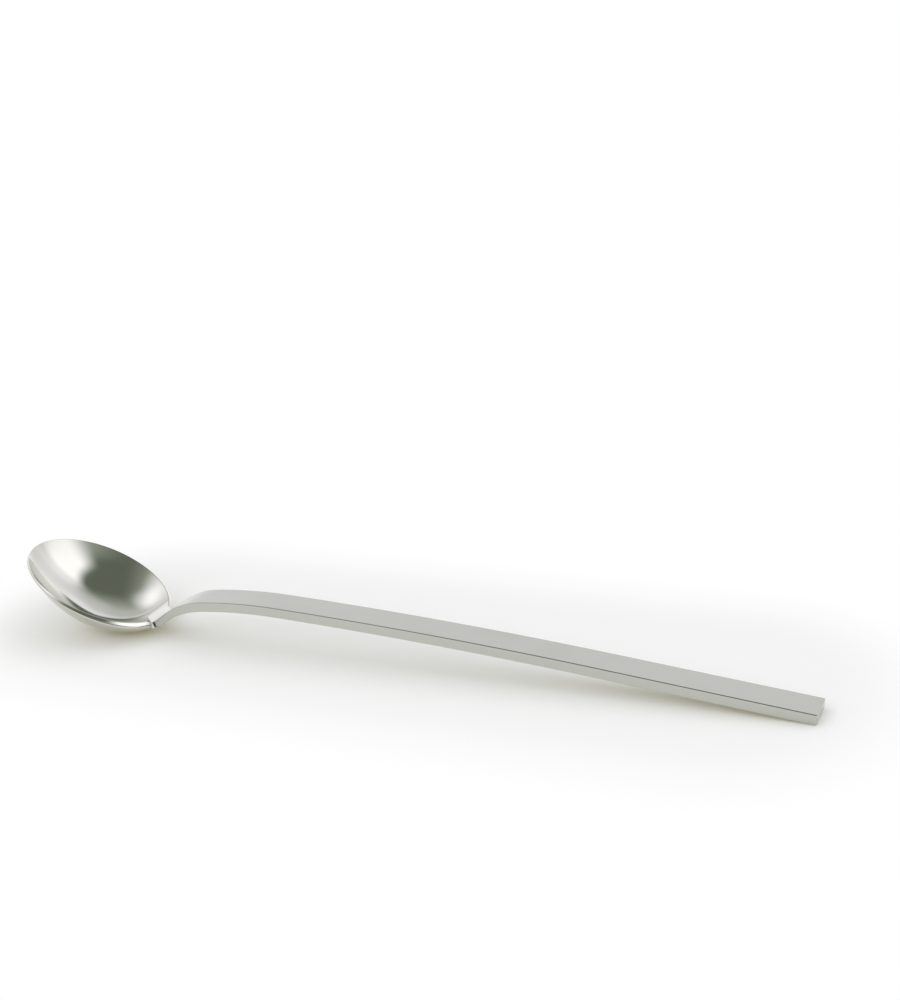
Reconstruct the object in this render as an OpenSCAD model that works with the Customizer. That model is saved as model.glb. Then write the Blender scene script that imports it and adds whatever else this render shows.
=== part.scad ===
// Long-handled serving spoon, lying as it rests on a table: a flat square-edged bar
// that is cranked down at one end and butt-soldered to a low seat on the rim of an oval bowl.
// The bowl's wall is thin at its tip and as heavy as the bar where the two meet.
// Millimetres, +Z up. The handle's free end points along +X, the bowl lies towards -X,
// and the origin is on the table under the middle of the bounding box.

/* [Handle] */
// Width of the flat bar
bar_width = 12; // [8:0.5:14]
// Thickness of the bar along the grip
bar_thickness = 3.4; // [2.6:0.1:5]
// Thickness of the bar where it meets the bowl
root_thickness = 2.2; // [1.6:0.1:2.8]
// Length of the straight grip at the free end
grip_length = 65; // [30:1:120]
// Radius of the long shallow sweep beyond the grip
sweep_radius = 1900; // [1200:50:3000]
// Turn of the long shallow sweep, in degrees
sweep_angle = 3.4; // [1.4:0.2:5.4]
// Radius of the shoulder before the crest
shoulder_radius = 180; // [100:5:300]
// Turn of the shoulder, in degrees
shoulder_angle = 8.8; // [4.8:0.2:12.8]
// Radius of the crest
crest_radius = 30; // [18:1:50]
// Steepest fall of the neck below the line of the grip, in degrees
neck_angle = 43.5; // [35:0.5:52]
// Straight length of the neck between the crest and the root bend
neck_length = 2; // [0.5:0.5:8]
// Radius of the bend that turns the neck back towards the bowl
root_radius = 8.4; // [6:0.2:18]
// Fall of the bar at its root below the line of the grip, in degrees
root_angle = 28; // [20:0.5:32]

/* [Bowl] */
// Length inside the rim
bowl_length = 52; // [42:1:64]
// Width inside the rim
bowl_width = 41.6; // [33:0.2:50]
// Depth below the plane of the rim
bowl_depth = 11.1; // [8:0.1:15]
// Fullness of the bowl's section, higher for a flatter bottom and steeper sides
bowl_fullness = 2.5; // [2:0.1:3]
// Distance by which the deepest point lies nearer the handle than the middle of the rim
deep_shift = 2.5; // [0:0.1:4]
// Rise of the rim towards the tip against the line of the grip, in degrees
tilt_angle = 19; // [14:0.5:24]
// Thickness of the wall at the tip of the rim
tip_wall = 0.8; // [0.5:0.1:1.6]
// Thickness of the wall at the deepest point
deep_wall = 1.9; // [1.2:0.1:2.6]
// Thickness of the wall where the handle meets the rim
root_wall = 2.8; // [2:0.1:3.6]

/* [Joint] */
// Height by which the rim stands above the bar where they meet
rim_step = 0.3; // [0:0.1:0.6]
// Thickness of the solder film between bar and seat
solder_film = 0.15; // [0.05:0.05:0.4]
// Straight length from the root bend to the end of the rim
root_straight = 1; // [0.7:0.1:2]
// Length by which the seat stands out past the end of the rim
seat_reach = 0.1; // [0:0.05:0.2]
// Height by which the seat stands above the bar
seat_height = 2.3; // [0.8:0.1:3]
// Thickness of the seat along its top
seat_top = 0.8; // [0.5:0.1:1.4]
// Thickness of the seat at its foot, inside the bowl's wall
seat_foot = 2.6; // [2:0.1:3.4]

/* [Hidden] */
// Points along each bend of the bar
bend_points = 14;
// Points around the bowl
bowl_sides = 72;
// Rings of the bowl from its middle to just inside the rim
bowl_rings = 22;
// Share of the rim's radius that those rings reach
ring_reach = 0.9;

// The bowl's own frame: origin in the plane of the rim, +X towards the handle
half_length = bowl_length / 2;
half_width = bowl_width / 2;
// Fall of the bar at its root against the plane of the rim
seat_angle = root_angle + tilt_angle;
// Radii of the bowl's rings as shares of the rim's radius
ring_shares = concat([for (i = [1 : bowl_rings]) ring_reach * i / bowl_rings], [1]);

// The bar's middle line, from the free end: grip, sweep, shoulder, crest, neck, root bend.
// Slopes are degrees above the line of the grip, looking along the bar towards the bowl.
sweep_slope = -sweep_angle;
shoulder_slope = sweep_slope - shoulder_angle;
sweep_start = [-grip_length, 0];
shoulder_start = fall_end(sweep_start, sweep_radius, 0, sweep_slope);
crest_start = fall_end(shoulder_start, shoulder_radius, sweep_slope, shoulder_slope);
neck_start = fall_end(crest_start, crest_radius, shoulder_slope, -neck_angle);
bend_start = neck_start + neck_length * ahead(-neck_angle);
joint_start = rise_end(bend_start, root_radius, -neck_angle, -root_angle);

// Length of the stretch over which the bar thins from grip to root
crest_arc = arc_length(crest_radius, neck_angle + shoulder_slope);
root_arc = arc_length(root_radius, neck_angle - root_angle);
thin_length = crest_arc + neck_length + root_arc + root_straight;

// Inner edge of the rim over the bar
rim_end = joint_start + root_straight * ahead(-root_angle)
    + (root_thickness / 2 + rim_step) * upward(-root_angle);
// Point of the bar's middle line that meets the seat's outer face
seat_start = joint_start + (root_straight - seat_reach) * ahead(-root_angle);
// Middle of the bar's square end, one film short of the seat
root_end = seat_start - solder_film * ahead(-root_angle);

// The whole spoon is turned about the lower edge of its free end until the bowl touches the table
foot = [0, -bar_thickness / 2];
inner_skin = skin(0);
outer_skin = skin(1);
rest_turn = -min([for (p = outer_skin) atan2(p[2] - foot[1], foot[0] - p[0])]);
rest_ends = [for (p = outer_skin) (p[0] - foot[0]) * cos(rest_turn) + (p[2] - foot[1]) * sin(rest_turn)];
rest_middle = (min(rest_ends) + bar_thickness * sin(rest_turn)) / 2;

// Direction along the bar at a slope
function ahead(slope) = [-cos(slope), sin(slope)];

// Direction out of the bar's upper face at a slope
function upward(slope) = [sin(slope), cos(slope)];

// Point reached by an arc that falls from one slope to another
function fall_end(start, radius, slope, last) =
    start + radius * [sin(last) - sin(slope), cos(last) - cos(slope)];

// Point reached by an arc that rises from one slope to another
function rise_end(start, radius, slope, last) =
    start - radius * [sin(last) - sin(slope), cos(last) - cos(slope)];

// Length of an arc, from its radius and its turn in degrees
function arc_length(radius, turn) = radius * turn * PI / 180;

// Thickness of the bar at a distance past the start of the crest
function thickness_at(travel) =
    let (share = min(1, travel / thin_length))
    bar_thickness + (root_thickness - bar_thickness) * share * share * (3 - 2 * share);

// Stations along a bend of full thickness, each a middle point, a slope and a thickness
function full_stations(start, radius, slope, last) =
    [for (i = [1 : bend_points])
        let (now = slope + (last - slope) * i / bend_points)
        [fall_end(start, radius, slope, now), now, bar_thickness]];

crest_stations =
    [for (i = [1 : bend_points])
        let (now = shoulder_slope - (neck_angle + shoulder_slope) * i / bend_points)
        [fall_end(crest_start, crest_radius, shoulder_slope, now), now,
            thickness_at(arc_length(crest_radius, shoulder_slope - now))]];

bend_stations =
    [for (i = [0 : bend_points])
        let (now = -neck_angle + (neck_angle - root_angle) * i / bend_points)
        [rise_end(bend_start, root_radius, -neck_angle, now), now,
            thickness_at(crest_arc + neck_length + arc_length(root_radius, now + neck_angle))]];

stations = concat(
    [[[0, 0], 0, bar_thickness], [sweep_start, 0, bar_thickness]],
    full_stations(sweep_start, sweep_radius, 0, sweep_slope),
    full_stations(shoulder_start, shoulder_radius, sweep_slope, shoulder_slope),
    crest_stations,
    bend_stations,
    [[root_end, -root_angle, root_thickness]]);

// A corner of the bar's side outline, above (1) or below (-1) a station
function corner(station, side) = station[0] + side * station[2] / 2 * upward(station[1]);

// Thickness of the bowl's wall, as far as rho from its middle in the direction turn
function wall_at(rho, turn) =
    let (
        share = (1 + cos(turn)) / 2,
        rim_wall = tip_wall + (root_wall - tip_wall) * share * share
    )
    deep_wall + (rim_wall - deep_wall) * rho * rho;

// Point of the bowl's inside (0) or outside (1), as far as rho from its middle in the direction turn
function bowl_point(rho, turn, side) =
    let (
        lift = bowl_fullness * pow(rho, bowl_fullness - 1),
        out_x = half_length * cos(turn),
        out_y = half_width * sin(turn),
        along_x = -half_length * sin(turn),
        along_y = half_width * cos(turn),
        step = [out_x - deep_shift * lift, out_y, bowl_depth * lift],
        normal = [-step[2] * along_y, step[2] * along_x, step[0] * along_y - step[1] * along_x],
        below = 1 - pow(rho, bowl_fullness)
    )
    [rho * out_x + deep_shift * below, rho * out_y, -bowl_depth * below]
        - side * wall_at(rho, turn) * normal / norm(normal);

// The point, pushed back along the bar onto the plane of the seat's outer face if it reaches past it
function filed(p) =
    let (past = (p[0] - half_length) * cos(seat_angle) + p[2] * sin(seat_angle) - seat_reach)
    p - max(0, past) * [cos(seat_angle), 0, sin(seat_angle)];

// A point of the bowl's own frame, set against the bar
function hung(p) = [
    rim_end[0] + (p[0] - half_length) * cos(tilt_angle) + p[2] * sin(tilt_angle),
    p[1],
    rim_end[1] - (p[0] - half_length) * sin(tilt_angle) + p[2] * cos(tilt_angle)];

// One skin of the bowl: its middle, then ring by ring out to the rim
function skin(side) = concat(
    [hung(bowl_point(0, 0, side))],
    [for (rho = ring_shares, k = [0 : bowl_sides - 1])
        hung(filed(bowl_point(rho, 360 * k / bowl_sides, side)))]);

// Index of a point of a skin: ring from 1, place around the ring
function place(ring, k) = 1 + (ring - 1) * bowl_sides + k % bowl_sides;

// Faces of a skin, seen from above it
skin_faces = concat(
    [for (k = [0 : bowl_sides - 1]) [0, place(1, k + 1), place(1, k)]],
    [for (ring = [1 : bowl_rings], k = [0 : bowl_sides - 1], upper = [0, 1])
        upper == 0
            ? [place(ring, k), place(ring, k + 1), place(ring + 1, k)]
            : [place(ring, k + 1), place(ring + 1, k + 1), place(ring + 1, k)]]);

// The same faces turned over, for the outside
function turned(face, skip) = [face[2] + skip, face[1] + skip, face[0] + skip];

// Sets the spoon down as it rests
module resting() {
    translate([-rest_middle, 0, 0])
        rotate([0, rest_turn, 0])
            translate([-foot[0], 0, -foot[1]])
                children();
}

// A point of the seat's side outline: depth into the bowl, height above the bar's middle line
function seat_point(depth, height) =
    seat_start + depth * ahead(-root_angle) + height * upward(-root_angle);

// Low seat across the end of the rim, as wide as the bar, sloping down into the bowl
module seat() {
    top_height = root_thickness / 2 + seat_height;
    rotate([90, 0, 0])
        linear_extrude(height = bar_width, center = true)
            polygon([
                seat_point(0, -root_thickness / 2),
                seat_point(0, top_height),
                seat_point(seat_top, top_height),
                seat_point(seat_foot, 0)]);
}

// Oval bowl with a square-edged rim and the seat for the bar
module bowl() {
    skip = len(inner_skin);
    last = bowl_rings + 1;
    rim_faces = [for (k = [0 : bowl_sides - 1], upper = [0, 1])
        upper == 0
            ? [place(last, k), place(last, k + 1), place(last, k) + skip]
            : [place(last, k + 1), place(last, k + 1) + skip, place(last, k) + skip]];
    color([0.80, 0.79, 0.76])
        resting() {
            polyhedron(
                points = concat(inner_skin, outer_skin),
                faces = concat(skin_faces, [for (face = skin_faces) turned(face, skip)], rim_faces));
            seat();
        }
}

// Flat bar, cranked down to the bowl
module handle() {
    upper_edge = [for (station = stations) corner(station, 1)];
    lower_edge = [for (i = [len(stations) - 1 : -1 : 0]) corner(stations[i], -1)];
    color([0.76, 0.76, 0.74])
        resting()
            rotate([90, 0, 0])
                linear_extrude(height = bar_width, center = true)
                    polygon(concat(upper_edge, lower_edge));
}

// Film of solder between the bar's end and the seat
module solder() {
    color([0.62, 0.62, 0.60])
        resting()
            translate([root_end[0], 0, root_end[1]])
                rotate([0, -root_angle, 0])
                    translate([-solder_film / 2, 0, 0])
                        cube([solder_film, bar_width, root_thickness], center = true);
}

bowl();
handle();
solder();
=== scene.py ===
"""Long-handled serving spoon in polished metal, lying on a pale studio floor.

A heavy oval bowl, a flat bar that is cranked down to it, and the solder between them.
The classes hold sizes in millimetres, and the meshes are written in metres.
"""

import logging
import math
from dataclasses import dataclass
from enum import Enum
from typing import Any, Callable, Union

import bpy
import numpy as np
from mathutils import Matrix, Vector


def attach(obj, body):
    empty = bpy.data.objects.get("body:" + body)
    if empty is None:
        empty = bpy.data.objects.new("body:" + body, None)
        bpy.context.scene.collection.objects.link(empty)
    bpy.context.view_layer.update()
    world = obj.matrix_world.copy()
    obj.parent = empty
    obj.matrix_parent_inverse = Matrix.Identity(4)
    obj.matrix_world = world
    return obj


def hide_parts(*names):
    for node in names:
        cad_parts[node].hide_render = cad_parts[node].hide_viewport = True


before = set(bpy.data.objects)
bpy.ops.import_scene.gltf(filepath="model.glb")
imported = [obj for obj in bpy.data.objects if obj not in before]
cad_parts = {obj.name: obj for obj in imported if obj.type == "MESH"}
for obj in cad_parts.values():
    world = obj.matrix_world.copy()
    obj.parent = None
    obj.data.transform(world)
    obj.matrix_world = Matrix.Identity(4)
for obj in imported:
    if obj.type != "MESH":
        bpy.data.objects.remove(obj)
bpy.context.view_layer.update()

LOG = logging.getLogger("spoon")
MM = 0.001
BODY = "root"
RIGHT_ANGLE = math.pi / 2
WHITE = (1.0, 1.0, 1.0)
# Middle value of the noise.
NOISE_MIDDLE = 0.5
# Step for slopes measured on the bowl, and the least share of the way from its middle.
NUDGE, NEAR_ZERO = 1.0e-4, 1.0e-6
# Halvings in the search for the end of a skin, and the share of the way where it starts.
SEARCH_STEPS, SEARCH_START = 40, 0.5

Node = bpy.types.Node
Socket = bpy.types.NodeSocket
Piece = bpy.types.Object
Points = np.ndarray
Surface = tuple[Points, Points]
Pair = tuple[float, float]
Triple = tuple[float, float, float]
Number = Union["Signal", float]
Paint = Union[Socket, Triple]


class Signal:
    """A number that varies over a surface: one output of a node, with arithmetic."""

    def __init__(self, bench: "NodeBench", socket: Socket) -> None:
        """Keeps the socket and the bench that holds its node."""
        self.bench = bench
        self.socket = socket

    def __add__(self, other: Number) -> "Signal":
        """Sum."""
        return self.bench.math("ADD", self, other)

    def __radd__(self, other: Number) -> "Signal":
        """Sum, with the number first."""
        return self.bench.math("ADD", other, self)

    def __sub__(self, other: Number) -> "Signal":
        """Difference."""
        return self.bench.math("SUBTRACT", self, other)

    def __rsub__(self, other: Number) -> "Signal":
        """Difference, with the number first."""
        return self.bench.math("SUBTRACT", other, self)

    def __mul__(self, other: Number) -> "Signal":
        """Product."""
        return self.bench.math("MULTIPLY", self, other)

    def __rmul__(self, other: Number) -> "Signal":
        """Product, with the number first."""
        return self.bench.math("MULTIPLY", other, self)

    def __truediv__(self, other: Number) -> "Signal":
        """Quotient."""
        return self.bench.math("DIVIDE", self, other)

    def __rtruediv__(self, other: Number) -> "Signal":
        """Quotient, with the number first."""
        return self.bench.math("DIVIDE", other, self)

    def __abs__(self) -> "Signal":
        """Size without sign."""
        return self.bench.math("ABSOLUTE", self)

    def rise(self, low: float, high: float) -> "Signal":
        """Soft step from 0 at low to 1 at high.

        Args:
            low: value below which the step is 0.
            high: value above which the step is 1.

        Returns:
            The step.
        """
        made = self.bench.node("ShaderNodeMapRange", {"interpolation_type": "SMOOTHSTEP"},
                               {"Value": self, "From Min": low, "From Max": high})
        return self.bench.out(made, "Result")


class NodeBench:
    """A node tree with one method that makes any node."""

    def __init__(self, holder: bpy.types.ID) -> None:
        """Gives a material or a world an empty tree, and keeps that.

        Args:
            holder: the material or world.
        """
        holder.use_nodes = True
        self.tree = holder.node_tree
        self.tree.nodes.clear()

    def node(self, kind: str, settings: dict[str, Any] | None = None,
             sockets: dict[str | int, Any] | None = None) -> Node:
        """Makes a node.

        Args:
            kind: Blender's name of the node's type.
            settings: the node's own properties, set before its sockets.
            sockets: values, signals or sockets by input name or place.

        Returns:
            The node.
        """
        made = self.tree.nodes.new(kind)
        for name, value in (settings or {}).items():
            setattr(made, name, value)
        for name, value in (sockets or {}).items():
            self._feed(made.inputs[name], value)
        return made

    def _feed(self, socket: Socket, value: Any) -> None:
        """Links or sets one input.

        Args:
            socket: the input.
            value: a signal, a socket, a colour or a number.
        """
        if isinstance(value, Signal):
            value = value.socket
        if isinstance(value, Socket):
            self.tree.links.new(value, socket)
        elif socket.type == "RGBA" and len(value) == 3:
            socket.default_value = (*value, 1.0)
        else:
            socket.default_value = value

    def out(self, node: Node, name: str | int = 0) -> Signal:
        """Wraps one output of a node."""
        return Signal(self, node.outputs[name])

    def math(self, operation: str, first: Number, second: Number = 0.0) -> Signal:
        """Result of a Math node's operation on one or two values."""
        made = self.node("ShaderNodeMath", {"operation": operation}, {0: first, 1: second})
        return self.out(made)

    def mix(self, share: Number, first: Paint, second: Paint) -> Socket:
        """Socket of a colour mixed from two, by the share of the second."""
        made = self.node("ShaderNodeMix", {"data_type": "RGBA"}, {0: share, 6: first, 7: second})
        return made.outputs[2]

    def blend(self, share: Number, first: Node, second: Node) -> Node:
        """Node of a shader mixed from two, by the share of the second."""
        shaders = {0: share, 1: first.outputs[0], 2: second.outputs[0]}
        return self.node("ShaderNodeMixShader", None, shaders)

    def rays(self) -> tuple[Signal, Signal]:
        """Tests what kind of ray looks at the surface.

        Returns:
            1 for the camera's own rays, and 1 for rays that come by a mirror or through glass.
        """
        path = self.node("ShaderNodeLightPath")
        mirrored = self.out(path, "Is Glossy Ray") + self.out(path, "Is Transmission Ray")
        return self.out(path, "Is Camera Ray"), mirrored

    def axes(self, vector: Socket) -> tuple[Signal, Signal, Signal]:
        """Parts of a vector along x, y and z."""
        parts = self.node("ShaderNodeSeparateXYZ", None, {0: vector})
        return self.out(parts, "X"), self.out(parts, "Y"), self.out(parts, "Z")

    def noise(self, place: Socket, scale: float, detail: float, roughness: float = 0.5) -> Signal:
        """Soft noise from 0 to 1, by its fineness, octaves and the share of each finer octave."""
        sockets = {"Vector": place, "Scale": scale, "Detail": detail, "Roughness": roughness}
        return self.out(self.node("ShaderNodeTexNoise", None, sockets), "Fac")


class Grain(Enum):
    """Which way the polishing lines run, as the fineness along each axis."""

    LENGTHWISE = (1.0, 40.0, 40.0)
    EVEN = (12.0, 12.0, 12.0)


@dataclass(frozen=True)
class PolishMarks:
    """The marks that polishing and handling leave, alike on every piece, and the turn where painted
    side shade ends.

    Attributes:
        line_detail: octaves of the polishing lines.
        line_roughness: share of each finer octave of the lines.
        cloud_scale: fineness of the hazy clouds.
        cloud_detail: octaves of the clouds.
        cloud_edges: noise at which a cloud starts and is full.
        speck_scale: fineness of the specks.
        speck_detail: octaves of the specks.
        dull: dulling everywhere, in a full cloud, and by the specks.
        relief: shares of the lines and of the specks in the relief.
        haze: how much the clouds blur the polish, against the lines.
        upward: upward parts of the normal between which the painted shade of a side runs into a
            top.
    """

    line_detail: float = 4.0
    line_roughness: float = 0.6
    cloud_scale: float = 60.0
    cloud_detail: float = 3.0
    cloud_edges: Pair = (0.42, 0.78)
    speck_scale: float = 5200.0
    speck_detail: float = 1.0
    dull: Triple = (0.2, 0.6, 1.4)
    relief: Pair = (0.7, 0.3)
    haze: float = 0.6
    upward: Pair = (0.2, 0.62)


@dataclass(frozen=True)
class MetalFinish:
    """Polished white metal with fine polishing lines, faint handling marks, a breath of tarnish and
    painted side shade.

    Attributes:
        name: name of the material.
        colour: clean metal.
        tarnish: metal where it has dulled.
        tarnish_share: most that the dull colour takes.
        roughness: polish, lower for a clearer mirror.
        roughness_spread: how far the polish varies.
        grain: which way the polishing lines run.
        grain_scale: fineness of the lines.
        grain_depth: depth of the lines in metres.
        under: painted shade, a darker colour on the faces that look sideways and down, or None.
        marks: the marks of polishing and handling.
    """

    name: str
    colour: Triple
    tarnish: Triple
    tarnish_share: float
    roughness: float
    roughness_spread: float
    grain: Grain
    grain_scale: float
    grain_depth: float
    under: Triple | None = None
    marks: PolishMarks = PolishMarks()

    def make(self) -> bpy.types.Material:
        """Builds the material.

        Returns:
            The material.
        """
        material = bpy.data.materials.new(self.name)
        bench, marks = NodeBench(material), self.marks
        place = bench.node("ShaderNodeTexCoord").outputs["Object"]
        drawn = bench.node("ShaderNodeVectorMath", {"operation": "MULTIPLY"},
                           {0: place, 1: self.grain.value}).outputs[0]
        lines = bench.noise(drawn, self.grain_scale, marks.line_detail, marks.line_roughness)
        clouds = bench.noise(place, marks.cloud_scale, marks.cloud_detail)
        specks = bench.noise(place, marks.speck_scale, marks.speck_detail)
        plain, hazy, speckled = marks.dull
        haze = clouds.rise(*marks.cloud_edges)
        dull = plain + haze * hazy + (specks - NOISE_MIDDLE) * speckled
        colour = bench.mix(dull * self.tarnish_share, self.colour, self.tarnish)
        # Painted shade: faces that look sideways and down take the darker under colour.
        if self.under is not None:
            normal = bench.node("ShaderNodeNewGeometry").outputs["Normal"]
            _, _, facing_up = bench.axes(normal)
            colour = bench.mix(facing_up.rise(*marks.upward), self.under, colour)
        line_relief, speck_relief = marks.relief
        relief = lines * line_relief + specks * speck_relief
        bump = bench.node("ShaderNodeBump", None,
                          {"Strength": 1.0, "Distance": self.grain_depth, "Height": relief})
        blur = lines - NOISE_MIDDLE + (clouds - NOISE_MIDDLE) * marks.haze
        shader = bench.node("ShaderNodeBsdfPrincipled", None, {
            "Base Color": colour,
            "Metallic": 1.0,
            "Roughness": self.roughness + blur * self.roughness_spread,
            "Normal": bump.outputs[0],
        })
        bench.node("ShaderNodeOutputMaterial", None, {"Surface": shader.outputs[0]})
        return material


BOWL_FINISH = MetalFinish(
    name="bowl_polish", colour=(0.86, 0.855, 0.83), tarnish=(0.79, 0.775, 0.72), tarnish_share=0.5,
    roughness=0.1, roughness_spread=0.04, grain=Grain.EVEN, grain_scale=220.0, grain_depth=2.0e-6,
    # under: painted shade, darker and warmer where the bowl's outside looks sideways and down.
    under=(0.61, 0.6, 0.535),
)
# Its under colour is painted shade, darker and warmer on the bar's sides and underside.
HANDLE_FINISH = MetalFinish(
    name="handle_satin", colour=(0.59, 0.59, 0.566), tarnish=(0.535, 0.53, 0.492),
    tarnish_share=0.5, roughness=0.2, roughness_spread=0.08, grain=Grain.LENGTHWISE,
    grain_scale=60.0, grain_depth=3.0e-6, under=(0.552, 0.558, 0.51),
)
# Filed, rougher metal; its colour, lighter than the bowl's, is a painted highlight on the seat's
# strip.
SEAT_FINISH = MetalFinish(
    name="seat_filed_painted_highlight", colour=(0.97, 0.965, 0.95), tarnish=(0.93, 0.92, 0.9), tarnish_share=0.5,
    roughness=0.3, roughness_spread=0.1, grain=Grain.LENGTHWISE, grain_scale=90.0,
    grain_depth=4.0e-6,
)
SOLDER_FINISH = MetalFinish(
    name="solder_dull", colour=(0.42, 0.42, 0.40), tarnish=(0.30, 0.29, 0.26), tarnish_share=0.6,
    roughness=0.32, roughness_spread=0.1, grain=Grain.EVEN, grain_scale=400.0, grain_depth=4.0e-6,
)


def unit(vectors: Points) -> Points:
    """Vectors of length 1 along the last axis."""
    return vectors / np.linalg.norm(vectors, axis=-1, keepdims=True)


def smooth(share: Any) -> Any:
    """Soft step of shares from 0 to 1."""
    return share * share * (3 - 2 * share)


def cos_sin(degrees: float) -> Pair:
    """Cosine and sine of an angle in degrees."""
    return math.cos(math.radians(degrees)), math.sin(math.radians(degrees))


def turned(vectors: Points, degrees: float) -> Points:
    """Vectors turned about the y axis.

    Args:
        vectors: points or directions.
        degrees: the turn, from +Z towards +X.

    Returns:
        The turned vectors.
    """
    cos, sin = cos_sin(degrees)
    x, y, z = vectors[..., 0], vectors[..., 1], vectors[..., 2]
    return np.stack([x * cos + z * sin, y, z * cos - x * sin], -1)


def stand(flat: Points, across: Points) -> Points:
    """Vectors in space from their parts in the bar's upright plane and across it."""
    return np.stack([flat[:, 0], across, flat[:, 1]], -1)


def put(name: str, data: bpy.types.ID) -> Piece:
    """Adds an object to the scene.

    Args:
        name: name of the object.
        data: its mesh, lamp or camera.

    Returns:
        The object.
    """
    made = bpy.data.objects.new(name, data)
    bpy.context.scene.collection.objects.link(made)
    return made


@dataclass(frozen=True)
class Rest:
    """How the spoon lies: turned about the lower edge of its free end until the bowl touches.

    Attributes:
        foot_height: half the bar's thickness, from its middle line down to the edge it turns about.
        turn: the turn in degrees.
        middle: middle of the spoon's length before the origin is moved there.
    """

    foot_height: float = 1.7
    turn: float = 5.327880
    middle: float = -136.195916

    def place(self, points: Points) -> Points:
        """Points of the straight-grip frame, set down on the table."""
        raised = points + np.array([0.0, 0.0, self.foot_height])
        return turned(raised, self.turn) - np.array([self.middle, 0.0, 0.0])

    def aim(self, directions: Points) -> Points:
        """Directions of the straight-grip frame, turned with the spoon."""
        return turned(directions, self.turn)


class Tube:
    """Rings of points that become one closed mesh with its own smooth normals."""

    def __init__(self) -> None:
        """Starts with no rings."""
        self.rings: list[Points] = []
        self.normals: list[Points] = []

    def add(self, ring: Points, normals: Points) -> None:
        """Adds a ring of points and the surface's normals there."""
        self.rings.append(ring)
        self.normals.append(normals)

    def piece(self, name: str, rest: Rest) -> Piece:
        """Joins the rings and closes both ends.

        Args:
            name: name of the piece.
            rest: how the spoon lies.

        Returns:
            The piece, with a flat or pointed end at each end of the tube.
        """
        count = max(len(ring) for ring in self.rings)
        starts = np.cumsum([0] + [len(ring) for ring in self.rings])
        faces: list[tuple[int, ...]] = []
        for near, far, first, second in zip(self.rings, self.rings[1:], starts, starts[1:]):
            for k in range(count):
                after = (k + 1) % count
                if len(near) == 1:
                    faces.append((first, second + k, second + after))
                elif len(far) == 1:
                    faces.append((first + k, second, first + after))
                else:
                    faces.append((first + k, second + k, second + after, first + after))
        if len(self.rings[0]) > 1:
            faces.append(tuple(range(count)))
        if len(self.rings[-1]) > 1:
            faces.append(tuple(starts[-2] + k for k in range(count - 1, -1, -1)))
        points = rest.place(np.concatenate(self.rings)) * MM
        normals = rest.aim(np.concatenate(self.normals))
        mesh = bpy.data.meshes.new(name)
        mesh.from_pydata(points.tolist(), [], [tuple(int(i) for i in face) for face in faces])
        mesh.polygons.foreach_set("use_smooth", [True] * len(mesh.polygons))
        mesh.update()
        mesh.normals_split_custom_set_from_vertices(unit(normals).tolist())
        return put(name, mesh)


@dataclass
class Bar:
    """Line and thickness of the flat bar, from its free end to its root.

    Attributes:
        width: width of the bar.
        thickness: thickness along the grip.
        root_thickness: thickness where it meets the bowl.
        grip_length: straight length at the free end.
        grip_sections: sections along the grip.
        bends: radius, slope at the end in degrees and sections of each falling bend.
        neck_length: straight length between the crest and the root bend.
        root_radius: radius of the bend that turns the neck back.
        root_slope: slope at the root in degrees.
        root_sections: sections along the root bend.
        root_straight: straight length from the root bend to the end of the bowl's rim.
    """

    width: float = 12.0
    thickness: float = 3.4
    root_thickness: float = 2.2
    grip_length: float = 65.0
    grip_sections: int = 12
    bends: tuple[tuple[float, float, int], ...] = (
        (1900.0, -3.4, 60),
        (180.0, -12.2, 40),
        (30.0, -43.5, 48),
    )
    neck_length: float = 2.0
    root_radius: float = 8.4
    root_slope: float = -28.0
    root_sections: int = 16
    root_straight: float = 1.0

    @staticmethod
    def ahead(slope: float) -> Points:
        """Direction along the bar at a slope."""
        cos, sin = cos_sin(slope)
        return np.array([-cos, sin])

    @staticmethod
    def upward(slope: float) -> Points:
        """Direction out of the bar's upper face at a slope."""
        cos, sin = cos_sin(slope)
        return np.array([sin, cos])

    def stations(self) -> list[tuple[Points, float, float]]:
        """Walks the middle line.

        Returns:
            Middle point, slope and travel past the start of the crest at each station.
        """
        spots = [
            (np.array([-self.grip_length * i / self.grip_sections, 0.0]), 0.0)
            for i in range(self.grip_sections + 1)
        ]
        crest = 0
        for radius, last, sections in self.bends:
            crest = len(spots) - 1
            start, first = spots[-1]
            for i in range(1, sections + 1):
                now = first + (last - first) * i / sections
                spots.append((start + radius * (self.upward(now) - self.upward(first)), now))
        start, first = spots[-1]
        spots.append((start + self.neck_length / 2 * self.ahead(first), first))
        spots.append((start + self.neck_length * self.ahead(first), first))
        start = spots[-1][0]
        for i in range(1, self.root_sections + 1):
            now = first + (self.root_slope - first) * i / self.root_sections
            spots.append((start - self.root_radius * (self.upward(now) - self.upward(first)), now))
        travel = [0.0]
        for (a, _), (b, _) in zip(spots, spots[1:]):
            travel.append(travel[-1] + float(np.linalg.norm(b - a)))
        return [
            (spot, slope, max(0.0, far - travel[crest]))
            for (spot, slope), far in zip(spots, travel)
        ]

    def thickness_at(self, share: float) -> float:
        """Thickness at a share of the way from the crest's start to the root."""
        return self.thickness + (self.root_thickness - self.thickness) * smooth(min(1.0, share))


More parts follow.
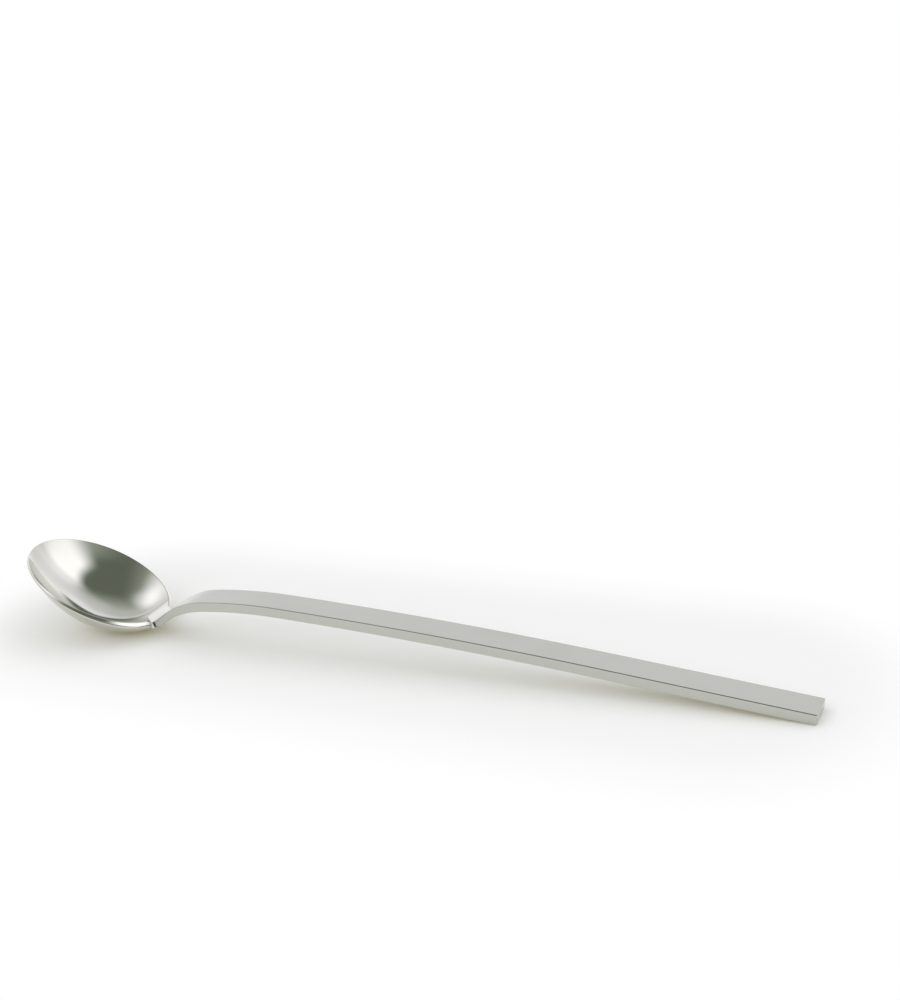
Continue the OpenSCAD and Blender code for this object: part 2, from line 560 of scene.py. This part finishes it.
@dataclass
class Handle:
    """The flat bar of the handle, with its edges just eased.

    Attributes:
        bar: line and thickness of the bar.
        root_reach: length of bar past the root bend, up to the solder.
        edge_radius: rounding of the long edges.
        end_radius: rounding of the upper and lower edges of the free end.
        root_round: rounding of the bar's sides where it meets the bowl.
        end_round: rounding of the bar's sides at its free end.
        root_rings: sections past the root bend.
        corner_points: points around each rounded edge.
    """

    bar: Bar
    root_reach: float
    edge_radius: float = 0.28
    end_radius: float = 0.2
    root_round: float = 1.5
    end_round: float = 0.5
    root_rings: int = 12
    corner_points: int = 7

    def section(self, thickness: float, inset: float, narrow: float) -> Surface:
        """Outline of the bar's section, shrunk by an inset.

        Args:
            thickness: thickness of the bar there.
            inset: how far the outline is moved in.
            narrow: how far the sides alone are moved in.

        Returns:
            Points as (across, up), and the outward normals.
        """
        points, normals = [], []
        for corner, (across, up) in enumerate(((1, 1), (-1, 1), (-1, -1), (1, -1))):
            middle = np.array([across * (self.bar.width / 2 - self.edge_radius - narrow),
                               up * (thickness / 2 - self.edge_radius)])
            for i in range(self.corner_points):
                out = np.array(cos_sin(90.0 * (corner + i / (self.corner_points - 1))))
                points.append(middle + (self.edge_radius - inset) * out)
                normals.append(out)
        return np.array(points), np.array(normals)

    def add_ring(self, tube: Tube, spot: Points, slope: float, thickness: float, side: Pair,
                 inset: float = 0.0, lean: float = 0.0) -> None:
        """Adds one section to the tube.

        Args:
            tube: the tube.
            spot: middle point.
            slope: slope of the bar there.
            thickness: thickness of the bar there.
            side: length of bar left before an end, and the rounding of the sides at that end,
                negative for the free end.
            inset: how far the outline is moved in.
            lean: sine of the lean of the upper and lower normals along the bar.
        """
        left, radius = side
        turn = max(0.0, 1 - left / abs(radius))
        square = math.sqrt(1 - turn * turn)
        outline, outward = self.section(thickness, inset, abs(radius) * (1 - square))
        up, ahead = self.bar.upward(slope), self.bar.ahead(slope)
        flat = spot + outline[:, 1:] * up
        rise = outward[:, 1] * math.sqrt(max(0.0, 1 - lean * lean))
        along = np.abs(outward[:, 1]) * lean + np.abs(outward[:, 0]) * math.copysign(turn, radius)
        aim = rise[:, None] * up + along[:, None] * ahead
        tube.add(stand(flat, outline[:, 0]), stand(aim, outward[:, 0] * square))

    def build(self, rest: Rest) -> Piece:
        """Builds the bar.

        Args:
            rest: how the spoon lies.

        Returns:
            The piece.
        """
        tube = Tube()
        bar, stations = self.bar, self.bar.stations()
        length = stations[-1][2] + self.root_reach
        spot, slope, _ = stations[0]
        for angle in np.linspace(0.0, RIGHT_ANGLE, self.corner_points):
            back = self.end_radius * (1 - math.cos(angle))
            self.add_ring(tube, spot + back * bar.ahead(slope), slope, bar.thickness,
                          (back, -self.end_round), self.end_radius * (1 - math.sin(angle)),
                          -math.cos(angle))
        for back in np.linspace(self.end_radius, self.end_round, self.corner_points)[1:]:
            self.add_ring(tube, spot + back * bar.ahead(slope), slope, bar.thickness,
                          (back, -self.end_round))
        for spot, slope, travel in stations[1:]:
            self.add_ring(tube, spot, slope, bar.thickness_at(travel / length),
                          (length - travel, self.root_round))
        for share in np.linspace(0.0, 1.0, self.root_rings + 1)[1:]:
            reach = self.root_reach * (1 - (1 - share) ** 2)
            self.add_ring(tube, spot + reach * bar.ahead(slope), slope, bar.root_thickness,
                          (self.root_reach - reach, self.root_round))
        return tube.piece("handle_bar", rest)

    def dress(self, piece: Piece, finish: MetalFinish) -> None:
        """Finishes the piece, and lets it stand for its node.

        Args:
            piece: the bar.
            finish: its metal.
        """
        piece.data.materials.append(finish.make())
        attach(piece, BODY)
        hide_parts("handle")


@dataclass
class Bowl:
    """Oval bowl, thin at its tip and heavy at the handle, its rim eased.

    Attributes:
        bar: the bar that it hangs on.
        length: length inside the rim.
        width: width inside the rim.
        depth: depth below the plane of the rim.
        fullness: fullness of the section.
        deep_shift: how far the deepest point lies nearer the handle than the middle of the rim.
        tilt: rise of the rim towards the tip against the line of the grip, in degrees.
        tip_wall: thickness of the wall at the tip of the rim.
        deep_wall: thickness of the wall at the deepest point.
        root_wall: thickness of the wall where the handle meets the rim.
        rim_step: height by which the rim stands above the bar.
        seat_reach: length by which the seat's outer face stands out past the end of the rim.
        inner_round: rounding of the rim's inner edge, as a share of the wall.
        outer_round: rounding of the rim's outer edge, as a share of the wall.
        seat_round: the same towards the handle.
        seat_turn: directions in degrees between which the one rounding runs into the other.
        skim: how far the outside stays inside the solid's.
        sides: points around the bowl.
        rings: rings of each skin.
        round_points: points across each rounded edge.
    """

    bar: Bar
    length: float = 52.0
    width: float = 41.6
    depth: float = 11.1
    fullness: float = 2.5
    deep_shift: float = 2.5
    tilt: float = 19.0
    tip_wall: float = 0.8
    deep_wall: float = 1.9
    root_wall: float = 2.8
    rim_step: float = 0.3
    seat_reach: float = 0.1
    inner_round: float = 0.2
    outer_round: float = 0.6
    seat_round: float = 0.45
    seat_turn: Pair = (55.0, 80.0)
    skim: float = 0.02
    sides: int = 360
    rings: int = 64
    round_points: int = 9

    def wall(self, rho: Points, turn: Points) -> Points:
        """Thickness of the wall.

        Args:
            rho: share of the way from the middle to the rim.
            turn: direction around the bowl in radians.

        Returns:
            The thickness.
        """
        share = (1 + np.cos(turn)) / 2
        rim = self.tip_wall + (self.root_wall - self.tip_wall) * share * share
        return self.deep_wall + (rim - self.deep_wall) * rho * rho - self.skim

    def inside(self, rho: Points, turn: Points) -> Surface:
        """The inside of the bowl in its own frame.

        Args:
            rho: share of the way from the middle to the rim.
            turn: direction around the bowl in radians.

        Returns:
            Points and normals into the hollow.
        """
        a, b, p = self.length / 2, self.width / 2, self.fullness
        cos, sin = np.cos(turn), np.sin(turn)
        lift, below = p * rho ** (p - 1), 1 - rho ** p
        step = np.stack([a * cos - self.deep_shift * lift, b * sin, self.depth * lift], -1)
        along = np.stack([-a * sin, b * cos, 0 * sin], -1)
        x = rho * a * cos + self.deep_shift * below
        point = np.stack([x, rho * b * sin, -self.depth * below], -1)
        return point, unit(np.cross(step, along))

    def outside(self, rho: Points, turn: Points) -> Surface:
        """The outside of the bowl in its own frame.

        Args:
            rho: share of the way from the middle to the rim.
            turn: direction around the bowl in radians.

        Returns:
            Points and outward normals.
        """
        def surface(far: Points, way: Points) -> Points:
            """One point of the outside."""
            point, normal = self.inside(far, way)
            return point - self.wall(far, way)[..., None] * normal

        across = surface(rho + NUDGE, turn) - surface(np.maximum(rho - NUDGE, NEAR_ZERO), turn)
        along = surface(rho, turn + NUDGE) - surface(rho, turn - NUDGE)
        return surface(rho, turn), unit(np.cross(along, across))

    def past_flat(self, points: Points) -> Points:
        """How far points reach past the plane of the seat's outer face."""
        cos, sin = cos_sin(self.tilt - self.bar.root_slope)
        return (points[..., 0] - self.length / 2) * cos + points[..., 2] * sin - self.seat_reach

    def reach(self, turn: Points, skin: Callable[[Points, Points], Surface]) -> Points:
        """Share of rho at which a skin ends: at the rim, or at the plane of the seat's outer face.

        Args:
            turn: directions around the bowl.
            skin: the inside or the outside.

        Returns:
            The last rho in each direction.
        """
        low, high = np.full_like(turn, SEARCH_START), np.ones_like(turn)
        for _ in range(SEARCH_STEPS):
            middle = (low + high) / 2
            within = self.past_flat(skin(middle, turn)[0]) < 0
            low, high = np.where(within, middle, low), np.where(within, high, middle)
        return np.where(self.past_flat(skin(np.ones_like(turn), turn)[0]) < 0, 1.0, low)

    def hang(self, vectors: Points, moved: bool) -> Points:
        """Turns the bowl's own frame into the bar's.

        Args:
            vectors: points or directions of the bowl's own frame.
            moved: true for points, false for directions.

        Returns:
            The same in the straight-grip frame.
        """
        if not moved:
            return turned(vectors, self.tilt)
        spot, slope, _ = self.bar.stations()[-1]
        top = spot + self.bar.root_straight * self.bar.ahead(slope)
        top = top + (self.bar.root_thickness / 2 + self.rim_step) * self.bar.upward(slope)
        from_end = vectors - np.array([self.length / 2, 0.0, 0.0])
        return turned(from_end, self.tilt) + np.array([top[0], 0.0, top[1]])

    def outer_curve(self, turn: Points) -> Points:
        """Rounding of the rim's outer edge, as a share of the wall.

        Args:
            turn: directions around the bowl.

        Returns:
            The rounding in each direction.
        """
        first, last = self.seat_turn
        aside = np.degrees(np.minimum(turn, 2 * math.pi - turn))
        clear = smooth(np.clip((aside - first) / (last - first), 0.0, 1.0))
        return self.seat_round + (self.outer_round - self.seat_round) * clear

    def build(self, rest: Rest) -> Piece:
        """Builds the bowl from the middle of its inside, over the rim, to that of its outside.

        Args:
            rest: how the spoon lies.

        Returns:
            The piece.
        """
        turn = np.linspace(0.0, 2 * math.pi, self.sides, endpoint=False)
        inner_end, outer_end = self.reach(turn, self.inside), self.reach(turn, self.outside)
        inner, into = self.inside(inner_end, turn)
        outer, away = self.outside(outer_end, turn)
        inner_step = (inner - self.inside(inner_end - NUDGE, turn)[0]) / NUDGE
        outer_step = (outer - self.outside(outer_end - NUDGE, turn)[0]) / NUDGE
        across = unit(outer - inner)
        inner_back, outer_back = -unit(inner_step), -unit(outer_step)
        crown = unit((inner_back * across).sum(-1, keepdims=True) * across - inner_back)
        width = np.linalg.norm(outer - inner, axis=-1)
        inner_curve, outer_curve = self.inner_round * width, self.outer_curve(turn) * width
        inner_last = inner_end - inner_curve / np.linalg.norm(inner_step, axis=-1)
        outer_last = outer_end - outer_curve / np.linalg.norm(outer_step, axis=-1)
        rows: list[Surface] = []
        for share in np.linspace(0.0, 1.0, self.rings + 1)[1:]:
            rows.append(self.inside(inner_last * share, turn))
        for angle in np.linspace(0.0, RIGHT_ANGLE, self.round_points):
            cos, sin = math.cos(angle), math.sin(angle)
            moved = (1 - sin) * inner_back + (1 - cos) * across
            rows.append((inner + inner_curve[:, None] * moved, cos * into + sin * crown))
        for angle in np.linspace(0.0, RIGHT_ANGLE, self.round_points):
            cos, sin = math.cos(angle), math.sin(angle)
            moved = (1 - cos) * outer_back - (1 - sin) * across
            rows.append((outer + outer_curve[:, None] * moved, sin * away + cos * crown))
        for share in np.linspace(1.0, 0.0, self.rings + 1)[:-1]:
            rows.append(self.outside(outer_last * share, turn))
        tube = Tube()
        up = np.array([[0.0, 0.0, 1.0]])
        deep = np.array([[self.deep_shift, 0.0, -self.depth]])
        tube.add(self.hang(deep, True), self.hang(up, False))
        for points, normals in rows:
            tube.add(self.hang(points, True), self.hang(normals, False))
        bottom = deep - (self.deep_wall - self.skim) * up
        tube.add(self.hang(bottom, True), self.hang(-up, False))
        return tube.piece("bowl_shell", rest)

    def dress(self, piece: Piece, finish: MetalFinish) -> None:
        """Finishes the piece, and lets it stand for its node.

        Args:
            piece: the shell.
            finish: its metal.
        """
        piece.data.materials.append(finish.make())
        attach(piece, BODY)
        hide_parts("bowl")


@dataclass
class Seat:
    """Low seat across the end of the rim that the bar is soldered against, its edges eased.

    Attributes:
        bar: the bar.
        reach: length from the root bend to the seat's outer face.
        height: height above the bar.
        top: thickness along its top.
        foot: thickness at its foot, inside the bowl's wall.
        lean: how far the face above the bar is filed back, in degrees.
        edge_radius: rounding of the long edges.
        side_radius: rounding at its two ends.
        corner_points: points around each rounded edge.
    """

    bar: Bar
    reach: float
    height: float = 2.3
    top: float = 0.8
    foot: float = 2.6
    lean: float = 15.0
    edge_radius: float = 0.12
    side_radius: float = 0.12
    corner_points: int = 7

    def outline(self) -> Surface:
        """Side outline with rounded corners.

        Returns:
            Points as (depth into the bowl, height above the bar's middle line), and the normals.
        """
        half = self.bar.root_thickness / 2
        peak = half + self.height
        back = self.height * math.tan(math.radians(self.lean))
        corners = np.array(
            [(0.0, -half), (0.0, half), (back, peak), (self.top, peak), (self.foot, 0.0)]
        )
        sides = unit(np.roll(corners, -1, axis=0) - corners)
        outward = np.stack([-sides[:, 1], sides[:, 0]], -1)
        points, normals = [], []
        for corner, before, after in zip(corners, np.roll(outward, 1, axis=0), outward):
            middle = corner - self.edge_radius * (before + after) / (1 + float(before @ after))
            for share in np.linspace(0.0, 1.0, self.corner_points):
                normal = unit(before * (1 - share) + after * share)
                points.append(middle + self.edge_radius * normal)
                normals.append(normal)
        return np.array(points), np.array(normals)

    def build(self, rest: Rest) -> Piece:
        """Builds the seat from its near end to its far end.

        Args:
            rest: how the spoon lies.

        Returns:
            The piece.
        """
        spot, slope, _ = self.bar.stations()[-1]
        ahead, up = self.bar.ahead(slope), self.bar.upward(slope)
        start = spot + self.reach * ahead
        points, normals = self.outline()
        aim = normals[:, :1] * ahead + normals[:, 1:] * up
        tube = Tube()
        half, radius = self.bar.width / 2, self.side_radius
        for side in (-1, 1):
            for angle in np.linspace(0.0, RIGHT_ANGLE, self.corner_points)[::-side]:
                cos, sin = math.cos(angle), math.sin(angle)
                moved = points - radius * (1 - sin) * normals
                flat = start + moved[:, :1] * ahead + moved[:, 1:] * up
                across = np.full(len(flat), side * (half - radius * (1 - cos)))
                sideways = np.full(len(flat), side * cos)
                tube.add(stand(flat, across), stand(aim * sin, sideways))
        return tube.piece("bowl_seat", rest)

    def dress(self, piece: Piece, finish: MetalFinish) -> None:
        """Finishes the piece, and lets it stand for its node.

        Args:
            piece: the seat.
            finish: its metal.
        """
        piece.data.materials.append(finish.make())
        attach(piece, BODY)
        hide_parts("bowl")


@dataclass
class SolderFilm:
    """Film of solder between the bar's square end and the seat, dressed back from the edges.

    Attributes:
        bar: the bar.
        reach: length of bar past the root bend, up to the film.
        film: thickness of the film.
        dressed: how far the film stands back from the bar's faces.
        side_gap: how far the film stands back from the bar's sides.
        rings: sections through the film.
    """

    bar: Bar
    reach: float
    film: float = 0.15
    dressed: float = 0.08
    side_gap: float = 1.2
    rings: int = 5

    def build(self, rest: Rest) -> Piece:
        """Builds the film.

        Args:
            rest: how the spoon lies.

        Returns:
            The piece.
        """
        spot, slope, _ = self.bar.stations()[-1]
        handle = Handle(self.bar, self.reach)
        up, ahead = self.bar.upward(slope), self.bar.ahead(slope)
        tube = Tube()
        for share in np.linspace(0.0, 1.0, self.rings):
            hollow = self.dressed * (1 + math.sin(math.pi * share))
            outline, outward = handle.section(self.bar.root_thickness, hollow, self.side_gap)
            flat = spot + (self.reach + self.film * share) * ahead + outline[:, 1:] * up
            tube.add(stand(flat, outline[:, 0]), stand(outward[:, 1:] * up, outward[:, 0]))
        return tube.piece("solder_seam", rest)

    def dress(self, piece: Piece, finish: MetalFinish) -> None:
        """Finishes the piece, and lets it stand for its node.

        Args:
            piece: the film.
            finish: its metal.
        """
        piece.data.materials.append(finish.make())
        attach(piece, BODY)
        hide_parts("solder")


@dataclass(frozen=True)
class SoftBox:
    """A lit panel of the studio, given as a patch of the sky.

    Attributes:
        left: where its left side starts and is fully lit, in degrees from +Y towards +X.
        right: where its right side starts to fade and ends.
        bottom: the same for its lower side, in degrees above the horizon.
        top: the same for its upper side.
        level: brightness.
    """

    left: Pair
    right: Pair
    bottom: Pair
    top: Pair
    level: float

    def mask(self, azimuth: Signal, height: Signal) -> Signal:
        """How much of the panel is seen in a direction in degrees: 1 in it, 0 away from it."""
        across = azimuth.rise(*self.left) * (1 - azimuth.rise(*self.right))
        return across * height.rise(*self.bottom) * (1 - height.rise(*self.top))


@dataclass(frozen=True)
class Room:
    """The backdrop's paper, the walls and the ceiling, without the lit panels.

    Attributes:
        left: where the paper's left side starts and is full, in degrees from +Y towards +X.
        right: where its right side starts to fade and ends.
        top: the same for its upper side, in degrees above the horizon.
        paper: brightness of the paper.
        gain: how much brighter it is on its right.
        turn: directions between which it brightens.
        ceiling: brightness of the ceiling.
        skirt: how much brighter the other walls are at the horizon.
        skirt_top: heights between which that fades.
        white_top: heights between which the white at the horizon fades in a mirror.
        tint: colour of the unlit ceiling and walls, against the panels' white.
        tint_levels: brightness between which that colour runs into white.
    """

    left: Pair = (-145.0, -126.0)
    right: Pair = (34.0, 53.0)
    top: Pair = (38.0, 63.0)
    paper: float = 0.58
    gain: float = 0.10
    turn: Pair = (-28.0, 0.0)
    ceiling: float = 0.121
    skirt: float = 0.45
    skirt_top: Pair = (0.0, 18.0)
    white_top: Pair = (1.0, 6.0)
    tint: Triple = (1.0, 1.12, 0.9)
    tint_levels: Pair = (0.1, 0.7)

    def level(self, azimuth: Signal, height: Signal) -> Signal:
        """Brightness of the room in a direction.

        Args:
            azimuth: direction in degrees from +Y towards +X.
            height: direction in degrees above the horizon.

        Returns:
            The brightness.
        """
        ahead = azimuth.rise(*self.left) * (1 - azimuth.rise(*self.right))
        paper = self.paper + self.gain * azimuth.rise(*self.turn)
        skirt = self.skirt * (1 - ahead) * (1 - height.rise(*self.skirt_top))
        return self.ceiling + skirt + paper * ahead * (1 - height.rise(*self.top))


@dataclass(frozen=True)
class Lamp:
    """A broad soft lamp that lights the floor and casts the soft shadows.

    Attributes:
        name: name of the lamp.
        place: where it hangs, in metres.
        size: its two sides in metres.
        power: power in watts.
    """

    name: str
    place: Triple
    size: Pair
    power: float

    def hang(self) -> None:
        """Hangs the lamp, aimed at the spoon and out of its reflections."""
        light = bpy.data.lights.new(self.name, "AREA")
        light.shape = "RECTANGLE"
        light.size, light.size_y = self.size
        light.energy = self.power
        lamp = put(self.name, light)
        lamp.location = self.place
        lamp.rotation_euler = (-Vector(self.place)).to_track_quat("-Z", "Y").to_euler()
        lamp.visible_glossy = False


@dataclass
class Studio:
    """Pale floor, soft panels and a dim ceiling.

    Attributes:
        floor_size: half the side of the floor in metres.
        floor_colour: colour of the floor's paper.
        painted_glow_colour: colour of a painted glow in the paper, no lamp, that warms and lifts
            its shadows.
        painted_glow_share: share of that painted glow in what the camera and mirrors see.
        bare_length: half the length, in metres, along which the bare paper doesn't narrow.
        bare_end: how far the bare paper reaches past that.
        bare_middle: middle of the bare paper across the spoon.
        bare_side: how far it reaches to each side.
        bare_edges: shares of that reach between which it runs into white.
        room: the backdrop, walls and ceiling.
        panels: the lit panels.
        lamps: the lamps over and before the spoon.
    """

    floor_size: float = 6.0
    floor_colour: Triple = (0.825, 0.84, 0.925)
    # Painted glow in the floor, no lamp, which warms and lifts its shadows.
    painted_glow_colour: Triple = (1.0, 0.9, 0.4)
    painted_glow_share: float = 0.14
    bare_length: float = 0.105
    bare_end: float = 0.075
    bare_middle: float = 0.012
    bare_side: float = 0.088
    bare_edges: Pair = (0.42, 0.95)
    room: Room = Room()
    panels: tuple[SoftBox, ...] = (
        SoftBox((-186.0, -76.0), (-35.0, 50.0), (22.0, 40.0), (41.0, 92.0), 0.51),
        SoftBox((42.0, 46.0), (86.0, 196.0), (17.0, 33.0), (37.0, 53.0), 0.41),
        SoftBox((-135.0, -97.0), (-87.0, -53.0), (17.0, 54.0), (41.0, 80.0), 1.24),
        SoftBox((24.0, 56.0), (87.0, 130.0), (-3.0, 29.0), (46.0, 59.0), 1.22),
        SoftBox((-75.0, -45.0), (0.0, 20.0), (-8.0, 6.0), (30.0, 44.0), 0.9),
    )
    lamps: tuple[Lamp, ...] = (
        Lamp("overhead", (0.0, -0.1, 1.1), (3.2, 3.2), 18.5),
        Lamp("front", (0.1, -1.2, 0.7), (2.4, 1.2), 10.5),
    )

    def lay_floor(self) -> None:
        """Makes the floor: bare paper under the spoon and its shadow, and white past it."""
        half = self.floor_size
        corners = [(-half, -half, 0), (half, -half, 0), (half, half, 0), (-half, half, 0)]
        mesh = bpy.data.meshes.new("floor")
        mesh.from_pydata(corners, [], [(0, 1, 2, 3)])
        floor = put("floor", mesh)
        material = bpy.data.materials.new("floor_paper")
        bench = NodeBench(material)
        x, y, _ = bench.axes(bench.node("ShaderNodeTexCoord").outputs["Object"])
        along = bench.math("MAXIMUM", abs(x) - self.bare_length, 0.0) / self.bare_end
        across = (y - self.bare_middle) / self.bare_side
        far = bench.math("SQRT", along * along + across * across)
        camera, mirrored = bench.rays()
        seen = bench.math("MINIMUM", camera + mirrored, 1.0)
        paper = bench.node("ShaderNodeBsdfDiffuse", None, {"Color": self.floor_colour})
        # Painted glow, no lamp: a warm emission mixed into the paper lifts and warms its shadows.
        painted_glow = bench.node("ShaderNodeEmission", None, {"Color": self.painted_glow_colour, "Strength": 1.0})
        white = bench.node("ShaderNodeEmission", None, {"Color": WHITE, "Strength": 1.0})
        near = bench.blend(self.painted_glow_share * seen, paper, painted_glow)
        mixed = bench.blend(far.rise(*self.bare_edges) * seen, near, white)
        bench.node("ShaderNodeOutputMaterial", None, {"Surface": mixed.outputs[0]})
        mesh.materials.append(material)

    def light_room(self) -> None:
        """Sets the room's panels, backdrop and ceiling as the world's light."""
        world = bpy.data.worlds.new("studio")
        bpy.context.scene.world = world
        bench, room = NodeBench(world), self.room
        x, y, z = bench.axes(bench.node("ShaderNodeTexCoord").outputs["Generated"])
        azimuth = bench.math("ARCTAN2", x, y) * math.degrees(1.0)
        height = bench.math("ARCSINE", z) * math.degrees(1.0)
        level = room.level(azimuth, height)
        for panel in self.panels:
            level = level + panel.mask(azimuth, height) * (panel.level - level)
        camera, mirrored = bench.rays()
        horizon = 1 - height.rise(*room.white_top)
        seen = bench.math("MINIMUM", camera + mirrored * horizon, 1.0)
        tint = bench.mix(level.rise(*room.tint_levels), room.tint, WHITE)
        shade = bench.node("ShaderNodeVectorMath", {"operation": "SCALE"},
                           {0: tint, "Scale": level})
        lit = bench.node("ShaderNodeBackground", None, {"Color": shade.outputs[0], "Strength": 1.0})
        white = bench.node("ShaderNodeBackground", None, {"Color": WHITE, "Strength": 1.0})
        mixed = bench.blend(seen, lit, white)
        bench.node("ShaderNodeOutputWorld", None, {"Surface": mixed.outputs[0]})

    def set_up(self) -> None:
        """Lays the floor, lights the room and hangs the lamps."""
        self.lay_floor()
        self.light_room()
        for lamp in self.lamps:
            lamp.hang()


@dataclass(frozen=True)
class View:
    """The camera.

    Attributes:
        place: where it stands, in millimetres.
        forward: where it looks.
        right: level direction to its right.
        up: direction square to both.
        roll: turn about its own axis in degrees.
        lens: focal length in millimetres.
        sensor: size of the sensor along the frame's long side, in millimetres.
        clip: nearest and farthest distance that it sees, in metres.
    """

    place: Triple = (216.54, -433.62, 219.56)
    forward: Triple = (-0.38676, 0.86362, -0.3234)
    right: Triple = (0.91266, 0.40872, 0.0)
    up: Triple = (-0.13218, 0.29515, 0.94626)
    roll: float = 3.269
    lens: float = 59.023
    sensor: float = 36.0
    clip: Pair = (0.01, 50.0)

    def set_up(self) -> None:
        """Makes the camera and gives it to the scene."""
        data = bpy.data.cameras.new("camera")
        data.lens = self.lens
        data.sensor_width = self.sensor
        data.clip_start, data.clip_end = self.clip
        camera = put("camera", data)
        cos, sin = cos_sin(self.roll)
        right, up = Vector(self.right), Vector(self.up)
        side, top, back = cos * right - sin * up, sin * right + cos * up, -Vector(self.forward)
        pose = Matrix((side, top, back)).transposed().to_4x4()
        pose.translation = Vector(self.place) * MM
        camera.matrix_world = pose
        bpy.context.scene.camera = camera


def main() -> None:
    """Builds the spoon piece by piece, then the studio and the camera."""
    logging.basicConfig(level=logging.INFO, format="%(name)s: %(message)s")
    bpy.context.scene.view_settings.view_transform = "Standard"
    rest, bar = Rest(), Bar()
    bowl = Bowl(bar)
    seat = Seat(bar, bar.root_straight - bowl.seat_reach)
    reach = seat.reach - SolderFilm.film
    dressed_parts = (
        (bowl, BOWL_FINISH),
        (seat, SEAT_FINISH),
        (Handle(bar, reach), HANDLE_FINISH),
        (SolderFilm(bar, reach), SOLDER_FINISH),
    )
    for part, finish in dressed_parts:
        piece = part.build(rest)
        part.dress(piece, finish)
        LOG.info("%s: %d faces", piece.name, len(piece.data.polygons))
    Studio().set_up()
    View().set_up()


if __name__ == "__main__":
    main()
